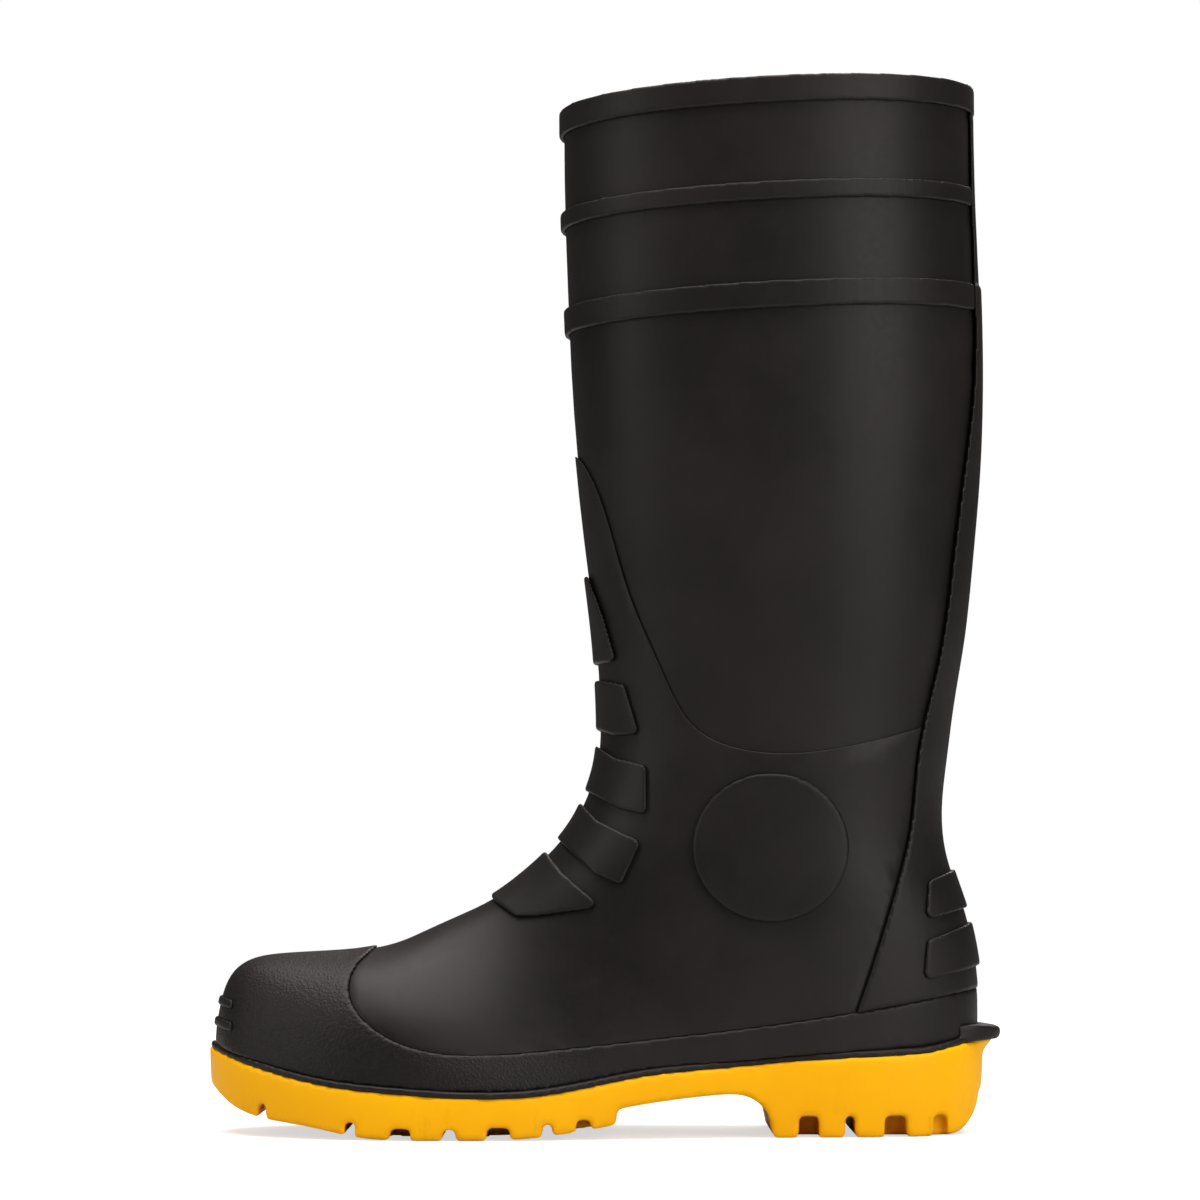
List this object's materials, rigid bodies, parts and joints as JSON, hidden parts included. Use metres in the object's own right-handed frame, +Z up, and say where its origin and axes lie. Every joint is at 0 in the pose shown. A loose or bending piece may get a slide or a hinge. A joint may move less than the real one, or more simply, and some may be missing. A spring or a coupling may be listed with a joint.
{
  "type": "fire boot",
  "caption": "Knee-high slip-on rubber fire boot with a broad toe cap, raised ankle and shin guards, a heel spur and a lugged sole.",
  "frame": {"origin": "on the ground under the middle of the boot's outline, where the ball and the heel of the sole rest", "axes": "+X towards the heel and -X towards the toe, +Y towards the inner side of the foot, +Z up the leg"},
  "size_m": [0.3065, 0.1184, 0.4058],
  "materials": {
    "black_rubber": "satin moulded black rubber",
    "grained_rubber": "black rubber with a fine leather grain",
    "yellow_rubber": "satin moulded yellow rubber",
    "filler_plastic": "dark moulded core",
    "toe_cap_steel": "thin dark powder coat on pressed steel",
    "strip_rubber": "soft dark rubber",
    "plate_steel": "cold rolled sheet steel",
    "board": "pressed fibre board",
    "knit_lining": "fine knitted polyester",
    "footbed_foam": "closed cell foam",
    "footbed_cloth": "brushed nylon cloth"
  },
  "bodies": {
    "boot": {"upper_shell": "black_rubber", "rim_band": "black_rubber", "leg_band_upper": "black_rubber", "leg_band_lower": "black_rubber", "back_stay": "black_rubber", "foot_cover": "black_rubber", "shin_bar_1": "black_rubber", "shin_bar_2": "black_rubber", "shin_bar_3": "black_rubber", "instep_bar_4": "black_rubber", "instep_bar_5": "black_rubber", "ankle_disc_outer": "black_rubber", "ankle_disc_inner": "black_rubber", "heel_bar_upper": "black_rubber", "heel_bar_lower": "black_rubber", "toe_bumper": "grained_rubber", "toe_scuff_ribs": "grained_rubber", "midsole_welt": "black_rubber", "outsole": "yellow_rubber", "heel_filler": "filler_plastic", "steel_toe_cap": "toe_cap_steel", "toe_cap_edge_strip": "strip_rubber", "steel_midsole_plate": "plate_steel", "insole_board": "board", "lining": "knit_lining"},
    "footbed": {"footbed_foam": "footbed_foam", "footbed_cloth": "footbed_cloth"}
  },
  "joints": [
    {"name": "footbed_lift", "type": "hinge", "parent": "boot", "child": "footbed", "pos_m": [-0.134, 0, 0.036], "axis": [0, -1, 0], "range_deg": [0, 4]}
  ]
}
